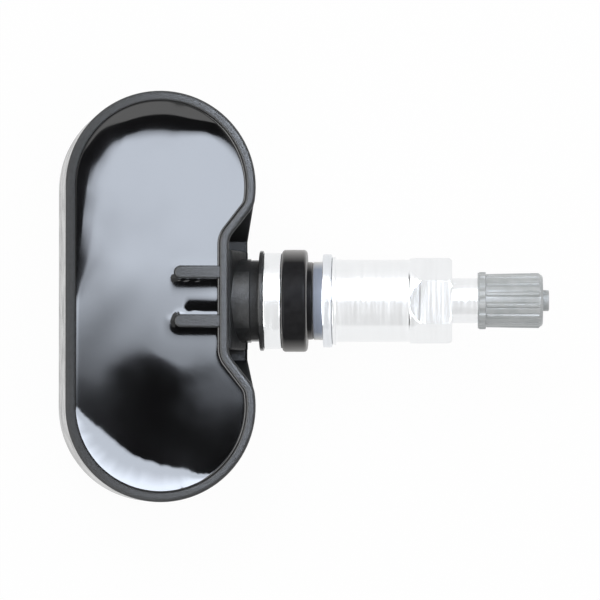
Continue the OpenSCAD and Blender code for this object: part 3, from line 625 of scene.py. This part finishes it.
def climbPart(side):
    # The end of the shelf that climbs to a lobe. Seen from above it fills the room between the shelf's
    # edge and the middle of the tub's wall; its top is one slope from the shelf's corner to the lobe.
    lobeY = tub["lobeGap"] / 2 + tub["lobeRadius"] * directionOf(waist["lobeAngle"])[1]
    low, high = side * waist["shelfCorner"], side * lobeY + tub["shift"]
    wall = outlinePoints(tub["wall"] / 2)[0]
    wall = wall[(wall[:, 0] > tub["waistX"] - 1) & ((wall[:, 1] - low) * (wall[:, 1] - high) < 0)]
    wall = wall[np.argsort(-side * wall[:, 1])]
    edge = np.linspace((waist["shelfEdge"], low), (waist["shelfEdge"], high), waist["edgePieces"])
    loop = np.concatenate([edge, wall])[::side]
    turn = np.linspace(0, np.pi / 2, rounding["edge"])
    full = waist["edge"] + rounding["guard"]
    insets = np.concatenate([[0.0], waist["edge"] * (1 - np.cos(turn)), [full]])
    drops = np.concatenate([[full], waist["edge"] * (1 - np.sin(turn)), [0.0]])
    rings = np.stack([offsetLoop(loop, inset) for inset in insets])
    share = (rings[..., 1] - low) / (high - low)
    tops = waist["shelfTop"] + (waist["endTop"] - waist["shelfTop"]) * share - drops[:, None]
    rings = np.concatenate([rings, tops[..., None]], 2)
    return gridPart(np.concatenate([raisedLoop(loop, tub["base"]), rings]))


def blockPart():
    # The wedge behind the neck: its side view carried across, both ends rounded
    loop = roundedProfile(waist["blockProfile"], waist["blockRadii"])
    half = waist["blockWidth"] / 2
    right = slabPart(loop, 0.0, half, waist["blockEdge"], axes=(0, 2, 1))
    left = (right[0] * [1.0, -1.0, 1.0], right[1], right[2])
    return joinParts(right, left)


def ribPart(centreY):
    # A bar with one round end: two long sides and a half circle, carried up to a rounded top
    half = waist["ribWidth"] / 2
    turn = directionOf(np.linspace(90, 270, waist["ribPieces"])) * half + [waist["ribEnd"] + half, 0.0]
    end = tub["waistX"] - tub["wall"] / 2
    loop = np.concatenate([[(end, half)], turn, [(end, -half)]]) + [0.0, tub["shift"] + centreY]
    return slabPart(loop, waist["ribFoot"], waist["ribTop"], waist["ribEdge"])


def neckPart():
    # Neck, groove and lip, turned about the valve's axis
    return turnedPart(roundedProfile(waist["neckProfile"], waist["neckRadii"], closed=False), closed=False)


housing = joinParts(tubPart(), shelfPart(), climbPart(1), climbPart(-1), blockPart(), neckPart(),
                    *[ribPart(y) for y in waist["ribCentres"]])
shell = addPiece("housing_shell", housing, finish["housing"], "sensor", ["housing"])
# The upright walls come smooth out of the mould, and the level faces have its spark texture. The valve's
# block, neck and shelf are rougher and carry painted shade: a darker colour and a weaker reflection
# for the shade in their recess under the rim.
fillSlot(shell, finish["housing_wall"], lambda centres, normals: np.abs(normals[:, 2]) < waist["levelFrom"])
fillSlot(shell, finish["housing_low_shaded"], lambda centres, normals:
         (centres[:, 2] < waist["lowUnder"] * mm) & (centres[:, 0] > (tub["waistX"] + waist["lowPast"]) * mm)
         & (np.abs(normals[:, 2]) >= waist["levelFrom"]))
print("housing built")


# The potting: a shallow bowl of black resin that creeps up the walls and ribs

potting = {
    "level": 5.62, "bottom": -8.3, "skirtTop": 4.0, "overlap": 0.04,
    "fineInsets": (1.6, 3.9), "fineRings": 26, "spineX": -26.05, "spineShare": 0.55, "innerRings": 60,
    "innerEnd": 0.985,
    # creep up the wall and its width, listed by direction from the tub's middle in degrees from +X, the
    # spread of degrees over which it's smoothed, and where it dies away from the wall
    "middleX": -26.0, "creepSpread": 14, "creepEnd": (7.0, 11.5),
    "creep": [(-180, 0.06, 0.4), (-150, 0.04, 0.3), (-130, 0.04, 0.3), (-64, 0.03, 0.2), (0, 0.02, 0.15),
              (55, 0.02, 0.2), (60, 0.06, 0.9), (65, 0.12, 1.6), (71, 0.22, 2.0), (76, 0.46, 2.3),
              (82, 0.82, 2.5), (100, 0.84, 2.5), (106, 0.66, 2.6), (114, 0.86, 2.8), (124, 0.86, 2.6),
              (134, 0.58, 2.1), (154, 0.34, 1.5), (170, 0.13, 0.8), (180, 0.06, 0.4)],
    # the crescent: how far it reaches in from the wall by direction, its rise over that reach, and the
    # size and speed of each wave of its ragged edge
    "crescent": [(-127, 0.3), (-124, 2.2), (-120, 3.9), (-114, 5.2), (-108, 5.8), (-94, 5.9), (-88, 5.2),
                 (-82, 4.2), (-79, 2.6), (-75, 0.3)],
    "crescentSpread": 3, "crescentRise": 0.12, "crescentRags": [(0.035, 97.0), (0.03, 61.0), (0.02, 171.0)],
    # the quarter round at the wall, and the share of it that shows
    "meniscus": 0.3, "meniscusShare": 0.96,
    # per rib: creep, its width, where it starts past the rib's end and over what length, on the +Y side,
    # then on the -Y side. Over a long start it goes straight on past the rib's end.
    "ribCreep": [((0.04, 0.5, -1.0, 3.0), (0.12, 0.5, -0.9, 1.0)),
                 ((0.1, 0.2, -1.0, 1.0), (0.05, 0.5, -2.0, 1.0))],
    "longStart": 2.0,
    # per rib: between which two distances from its middle the -Y side turns into the +Y side
    "ribChange": [(-1.1, -0.5), (0.2, 1.1)],
    # the fall towards the lower rib: depth, length, and where it starts along X and how fast
    "fall": {"depth": 0.13, "length": 2.8, "startX": -22.1, "fadeX": 1.2},
    # the long waves: height, turn per millimetre along X and along Y, and start, and how soon they begin
    "waves": [(0.006, 0.36, 0.12, 0.3), (0.005, -0.15, 0.4, 1.7), (0.0025, 0.6, -0.45, 4.0)], "waveStart": 2,
}


def distanceToLine(points, start, end):
    # Distance in the plane to the straight line between two places
    start, end = np.array(start), np.array(end)
    along = end - start
    t = np.clip(((points - start) @ along) / (along @ along), 0, 1)
    return np.linalg.norm(points - start - t[..., None] * along, axis=-1)


def smoothStep(values, low, high):
    # From 0 at low to 1 at high, level at both: t squared times 3 less 2t
    t = np.clip((values - low) / (high - low), 0, 1)
    return t * t * (3 - 2 * t)


def alongWall(table, degrees, spread):
    # The values of a table of directions, each the mean over the spread of degrees round it
    places = np.arange(-540, 540, 0.5)
    directions = np.mod(places + 180, 360) - 180
    stops, *columns = np.array(table).T
    window = np.hanning(2 * spread + 1)
    window /= window.sum()
    return [np.interp(degrees, places, np.convolve(np.interp(directions, stops, column), window, "same"))
            for column in columns]


def wallCreep(wall):
    # Creep, its width and the crescent's reach at each point of the wall's loop, with the reach made
    # ragged by sines of the direction
    p = potting
    degrees = np.degrees(np.arctan2(wall[:, 1] - tub["shift"], wall[:, 0] - p["middleX"]))
    creep, width = alongWall(p["creep"], degrees, p["creepSpread"])
    reach = alongWall(p["crescent"], degrees, p["crescentSpread"])[0]
    for size, speed in p["crescentRags"]:
        reach = reach * (1 + size * np.sin(speed * np.radians(degrees)))
    return creep, width, reach


def pottingHeight(points, wallDistance, creep, width, reach):
    # The level, plus a creep that dies away from the walls and from each side of the ribs, a parabola over
    # the crescent's reach, a quarter round at the wall and three long low waves, less a fall towards the
    # upper side of the lower rib
    p = potting
    x, y = points[..., 0], points[..., 1]
    inner = 1 - smoothStep(wallDistance, *p["creepEnd"])
    height = p["level"] + creep * inner * np.exp(-wallDistance / width)
    height = height + p["crescentRise"] * reach * np.clip(1 - wallDistance / reach, 0, 1) ** 2
    t = np.clip(1 - wallDistance / p["meniscus"], 0, p["meniscusShare"])
    height = height + p["meniscus"] * (1 - np.sqrt(1 - t * t))
    for size, alongX, alongY, phase in p["waves"]:
        wave = size * np.sin(alongX * x + alongY * y + phase)
        height = height + wave * (1 - np.exp(-wallDistance / p["waveStart"]))
    half = waist["ribWidth"] / 2
    for centreY, (upper, lower), change in zip(waist["ribCentres"], p["ribCreep"], p["ribChange"]):
        middle = tub["shift"] + centreY
        away = distanceToLine(points, (waist["ribEnd"] + half, middle), (tub["waistX"], middle))
        away = np.maximum(away - half, 0)
        beside = np.maximum(np.abs(y - middle) - half, 0)
        share = smoothStep(y - middle, *change)
        for part, (rise, riseWidth, start, length) in ((share, upper), (1 - share, lower)):
            begin = smoothStep(x - waist["ribEnd"], start, start + length)
            far = beside if length > p["longStart"] else away
            height = height + part * rise * begin * np.exp(-far / riseWidth)
    fall = p["fall"]
    ribTop = tub["shift"] + waist["ribCentres"][1] + half
    t = np.clip((ribTop + fall["length"] - y) / fall["length"], 0, 1.0)
    share = smoothStep(x, fall["startX"], fall["startX"] + fall["fadeX"])
    share = share * smoothStep(y, ribTop - 2 * half, ribTop)
    return height - fall["depth"] * t ** 2 * share


def pottingPart():
    # Rings of the tub's outline, close together near the wall, then drawn in towards a line down the
    # middle of the tub, with a skirt down to the floor
    p = potting
    fine = 1 - np.cos(np.linspace(0, np.pi / 2, p["fineRings"]))
    nearest, furthest = p["fineInsets"]
    insets = nearest - p["overlap"] + fine * (furthest - nearest)
    rings = outlinePoints(insets)
    last = rings[-1]
    spine = np.stack([np.full(len(last), p["spineX"]), last[:, 1] * p["spineShare"]], 1)
    t = np.linspace(0, p["innerEnd"], p["innerRings"] + 1)[1:, None, None]
    inner = last + (spine - last) * t
    flat = np.concatenate([rings, inner])
    wall = rings[0]
    toWall = np.stack([np.linalg.norm(ring[:, None] - wall[None], axis=2).min(1) for ring in inner])
    nearWall = np.broadcast_to((insets - insets[0])[:, None], rings.shape[:2])
    heights = pottingHeight(flat, np.concatenate([nearWall, toWall]), *wallCreep(wall))
    top = np.concatenate([flat, heights[..., None]], 2)
    skirt = raisedLoop(wall, p["bottom"], p["skirtTop"])
    part = gridPart(np.concatenate([skirt, top]), capped=False)
    count, columns = len(part[0]), len(wall)
    part = fillLevel(part, [list(range(count - columns, count))])
    return part[0], part[1], part[2] + [np.arange(columns)]


addPiece("potting_surface", pottingPart(), finish["potting"], "sensor", ["potting_compound"],
         sharp=80.0)
print("potting built")


# The valve: stem, grommet, washer, nut and cap, all turned about its axis

stem = {
    "lip": -7.45, "flange": -4.3, "flangeRadius": 8.25, "flangeEdge": 0.35, "shoulderRadius": 5.6,
    "shoulderEnd": 1.0, "nutThread": 5.0, "nutThreadEnd": 23.15, "coneStart": 23.25, "coneEnd": 24.4,
    "capThread": 3.85, "threadEnd": 37.55, "end": 38.0, "foot": -20.65, "footRadius": 3.4,
    "anchorRadius": 4.4, "anchorWidth": 1.5, "anchorFront": -9.65, "mouth": 2.75, "taperStart": 32.0,
    "bore": 30.8, "boreRadius": 2.1, "boreEnd": 18.8, "air": 1.3, "airEnd": -10.1, "capPitch": 0.794,
    "nutPitch": 1.0, "threadDepth": 0.22, "turnPieces": 12, "smoothEnd": 29.45, "columns": 128,
    # the smooth length's end and the turns' start for the nut, the gaps before and after the cap's turns,
    # the bevel at the end, and the radii at the two ends of the closed line
    "nutThreadStart": 3.2, "nutTurnsStart": 3.3, "capGap": 0.3, "endGap": 0.1, "endBevel": 0.45,
    "footHole": 1.0, "airPoint": 0.3,
}


def threadWave(s, angles, pitch):
    # 1 at the crests and 0 at the roots of a right-hand thread: a triangle wave of the height less the turn
    turns = s[:, None] / pitch - angles[None, :] / (2 * np.pi)
    return 1 - np.abs(2 * (turns - np.floor(turns)) - 1)


def stemPart():
    # One closed surface: from the foot along the outside to the stem's end, and back along the bore
    k = stem
    half = k["anchorWidth"] / 2
    front = k["anchorFront"] - 2 * k["anchorWidth"]
    outside = roundedProfile([
        (k["foot"], k["footHole"]), (k["foot"], k["footRadius"]), (k["foot"] + half, k["footRadius"]),
        (k["foot"] + half, k["anchorRadius"]), (k["foot"] + 3 * half, k["anchorRadius"]),
        (k["foot"] + 3 * half, k["footRadius"]), (front, k["footRadius"]), (front, k["anchorRadius"]),
        (front + 2 * half, k["anchorRadius"]), (front + 2 * half, k["footRadius"]),
        (k["lip"], k["footRadius"]), (k["lip"], k["flangeRadius"]), (k["flange"], k["flangeRadius"]),
        (k["flange"], k["shoulderRadius"]), (k["shoulderEnd"], k["shoulderRadius"]),
        (k["shoulderEnd"], k["nutThread"]), (k["nutThreadStart"], k["nutThread"]),
    ], [0, 0.1] + [0.1] * 8 + [0.1, 0.25, k["flangeEdge"], 0.1, 0.15, 0.1, 0], closed=False)
    nutThread = np.arange(k["nutTurnsStart"], k["nutThreadEnd"], k["nutPitch"] / k["turnPieces"])
    capThread = np.arange(k["smoothEnd"] + k["capGap"], k["threadEnd"] - k["endGap"],
                          k["capPitch"] / k["turnPieces"])
    bare = roundedProfile([
        (k["nutThreadEnd"], k["nutThread"]), (k["coneStart"], k["nutThread"]),
        (k["coneEnd"], k["capThread"]), (k["smoothEnd"], k["capThread"]),
    ], (0, 0.03, 0.1, 0), closed=False)
    inside = roundedProfile([
        (k["threadEnd"], k["capThread"]), (k["end"], k["capThread"] - k["endBevel"]), (k["end"], k["mouth"]),
        (k["taperStart"], k["mouth"]), (k["bore"], k["boreRadius"]), (k["boreEnd"], k["boreRadius"]),
        (k["boreEnd"], k["air"]), (k["airEnd"], k["air"]), (k["airEnd"], k["airPoint"]),
    ], (0, 0.1, 0.15, 0.1, 0.1, 0.1, 0.1, 0.1, 0), closed=False)
    threads = [np.stack([s, np.full(len(s), r)], 1)
               for s, r in ((nutThread, k["nutThread"]), (capThread, k["capThread"]))]
    profile = np.concatenate([outside, threads[0], bare, threads[1], inside])
    angles = np.arange(k["columns"]) * 2 * np.pi / k["columns"]
    radius = np.repeat(profile[:, 1:], k["columns"], 1)
    first = len(outside)
    second = first + len(nutThread) + len(bare)
    for start, s, pitch in ((first, nutThread, k["nutPitch"]), (second, capThread, k["capPitch"])):
        fade = np.clip(np.minimum(s - s[0], s[-1] - s) / pitch, 0, 1)[:, None]
        radius[start:start + len(s)] -= k["threadDepth"] * (1 - threadWave(s, angles, pitch)) * fade
    return gridPart(turnedPoints(profile[:, 0], radius, k["columns"]))


grommet = {"back": -4.3, "seat": 0.0, "radius": 8.75, "edge": 0.6, "bore": 5.6, "spigot": 6.65,
           "spigotEnd": 1.0, "spigotEdge": 0.3}
# the sleeve's darker blue-grey colour stops short of the flange
washer = {"bore": 5.05, "start": 1.05, "sleeve": 6.7, "sleeveShort": 0.1, "flangeStart": 2.7, "flange": 8.0,
          "end": 4.25}


def grommetPart():
    # Flange against the rim and spigot in the rim's hole, turned about the stem
    g = grommet
    return turnedPart(roundedProfile([
        (g["back"], g["bore"]), (g["back"], g["radius"]), (g["seat"], g["radius"]), (g["seat"], g["spigot"]),
        (g["spigotEnd"], g["spigot"]), (g["spigotEnd"], g["bore"]),
    ], (0.1, g["edge"], g["edge"], 0.12, g["spigotEdge"], 0.1)))


def washerPart():
    # Sleeve in the rim's hole, just past the grommet's spigot, and flange under the nut
    w = washer
    return turnedPart(roundedProfile([
        (w["start"], w["bore"]), (w["start"], w["sleeve"]), (w["flangeStart"], w["sleeve"]),
        (w["flangeStart"], w["flange"]), (w["end"], w["flange"]), (w["end"], w["bore"]),
    ], (0.15, 0.2, 0.12, 0.15, 0.3, 0.15)))


nut = {
    "start": 4.3, "end": 24.8, "bore": 5.05, "ring": 7.55, "ringWidth": 0.6, "barrel": 7.05,
    "hexStart": 19.4, "acrossFlats": 12.7, "acrossCorners": 14.65, "hexTurn": 4.0, "runOut": 2.0,
    "bevel": 0.5, "columns": 180,
    # the head's rows: their length, how far before the head they start and how short of its end they stop,
    # the same two for the rows that they take the place of, and how far under the barrel these may lie
    "rowLength": 0.12, "rowsBefore": 0.5, "rowsShort": 0.8, "oldBefore": 1.0, "oldShort": 0.7,
    "oldUnder": 0.01, "boreWall": 0.3,
}


def nutPart():
    # Turned profile, then six flats cut into it: at each angle the radius is the lesser of the profile's
    # and of the flat's distance over the cosine of the angle off the flat's middle. Each flat runs out
    # on a slope into the barrel.
    n = nut
    headStart = n["hexStart"] - n["runOut"]
    corner = n["acrossCorners"] / 2
    profile = roundedProfile([
        (n["start"], n["bore"]), (n["start"], n["ring"]), (n["start"] + n["ringWidth"], n["ring"]),
        (n["start"] + n["ringWidth"], n["barrel"]), (headStart, n["barrel"]),
        (headStart + corner - n["barrel"], corner), (n["end"] - n["bevel"], corner),
        (n["end"], corner - n["bevel"]), (n["end"], n["bore"]),
    ], (0.15, 0.15, 0.15, 0.1, 0.2, 0.2, 0.15, 0.12, 0.2))
    tops = profile[:, 0]
    wanted = np.arange(headStart - n["rowsBefore"], n["end"] - n["rowsShort"], n["rowLength"])
    outer = (tops > headStart - n["oldBefore"]) & (tops < n["end"] - n["oldShort"])
    outer &= profile[:, 1] > n["barrel"] - n["oldUnder"]
    head = np.stack([wanted, np.interp(wanted, tops[outer], profile[outer, 1])], 1)
    firstOuter, lastOuter = np.flatnonzero(outer)[[0, -1]]
    profile = np.concatenate([profile[:firstOuter], head, profile[lastOuter + 1:]])
    angles = np.arange(n["columns"]) * 2 * np.pi / n["columns"]
    off = np.mod(angles - math.radians(n["hexTurn"]) + np.pi / 6, np.pi / 3) - np.pi / 6
    into = np.clip(n["hexStart"] - profile[:, 0], 0, n["runOut"])
    flat = n["acrossFlats"] / 2 + into * (corner - n["acrossFlats"] / 2) / n["runOut"]
    cut = flat[:, None] / np.cos(off)[None]
    cut[(profile[:, 0] < headStart) | (profile[:, 1] < n["bore"] + n["boreWall"])] = np.inf
    radius = np.minimum(profile[:, 1:], cut)
    return gridPart(turnedPoints(profile[:, 0], radius, n["columns"]), loopRows=True)


cap = {
    "start": 29.15, "end": 40.3, "radius": 4.5, "skirt": 4.9, "skirtWidth": 1.4, "edge": 0.7, "nub": 1.8,
    "nubLength": 1.05, "middle": 0.2, "bore": 3.9, "roof": 39.1, "boreWall": 0.3, "ribs": 14,
    "ribHeight": 0.34, "ribSink": 0.05, "ribWidth": 0.62, "columns": 448,
    # the groove's depth, and its place and spread in half widths of a rib; the notch's depth and half width
    "groove": (0.17, 1.45, 0.3), "notch": (0.3, 0.5),
    # how far the ribs start past the skirt and stop past the rounding's foot, and over what lengths
    "ribStart": (0.08, 0.15), "ribEnd": (0.2, 0.35), "underSkirt": 0.12, "skirtFrom": (0.1, 0.3),
}


def capPart():
    # A turned cup with fine ribs: between the skirt and the rounded end the radius rises over each rib,
    # and dips in a groove on both sides of it. The skirt has a notch between each two ribs.
    c = cap
    profile = roundedProfile([
        (c["roof"], c["middle"]), (c["roof"], c["bore"]), (c["start"], c["bore"]), (c["start"], c["skirt"]),
        (c["start"] + c["skirtWidth"], c["skirt"]), (c["start"] + c["skirtWidth"], c["radius"]),
        (c["end"], c["radius"]), (c["end"], c["nub"]), (c["end"] + c["nubLength"], c["nub"]),
        (c["end"] + c["nubLength"], c["middle"]),
    ], (0, 0.2, 0.15, 0.25, 0.2, 0.05, c["edge"], 0.1, 0.2, 0), closed=False)
    angles = np.arange(c["columns"]) * 2 * np.pi / c["columns"]
    step = 2 * np.pi / c["ribs"]
    off = (np.mod(angles, step) - step / 2) * c["radius"] / (c["ribWidth"] / 2)
    deep, place, spread = c["groove"]
    dip = deep * np.exp(-((np.abs(off) - place) / spread) ** 2)
    rise = c["ribHeight"] * np.exp(-off ** 4) - c["ribSink"] - dip
    s, r = profile.T
    (startPast, startLength), (endPast, endLength) = c["ribStart"], c["ribEnd"]
    low, high = c["start"] + c["skirtWidth"] + startPast, c["end"] - c["edge"] + endPast
    share = np.clip((s - low) / startLength, 0, 1) * np.clip((high - s) / endLength, 0, 1)
    share = share * (r > c["bore"] + c["boreWall"])
    radius = np.minimum(r[:, None] + share[:, None] * rise[None], c["skirt"] - c["underSkirt"])
    notchDeep, notchWide = c["notch"]
    between = np.mod(angles, step) * c["radius"]
    between = np.minimum(between, step * c["radius"] - between)
    pastRadius, pastStart = c["skirtFrom"]
    onSkirt = (r > c["radius"] + pastRadius) & (s > c["start"] + pastStart)
    notched = r[:, None] - notchDeep * np.exp(-(between / notchWide) ** 4)[None]
    radius = np.where(onSkirt[:, None], notched, radius)
    return gridPart(turnedPoints(s, radius, c["columns"]))


addPiece("valve_stem_turned", stemPart(), finish["stem"], "sensor", ["valve_stem"])
addPiece("rim_grommet_moulded", grommetPart(), finish["grommet"], "sensor", ["rim_grommet"])
washerPiece = addPiece("nut_washer_turned", washerPart(), finish["washer"], "washer",
                       ["nut_washer"])
# The sleeve's faces get a darker blue-grey colour than the washer, up to just short of the flange
sleeveEnd = (washer["flangeStart"] - washer["sleeveShort"]) * mm
fillSlot(washerPiece, finish["sleeve"], lambda centres, normals: centres @ valveAxis < sleeveEnd)
addPiece("hex_nut_turned", nutPart(), finish["nut"], "nut", ["hex_nut"], sharp=22.0)
addPiece("valve_cap_ribbed", capPart(), finish["cap"], "cap", ["valve_cap"])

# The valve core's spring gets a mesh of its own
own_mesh(frame["nodes"]["core_spring"])
print("valve built")
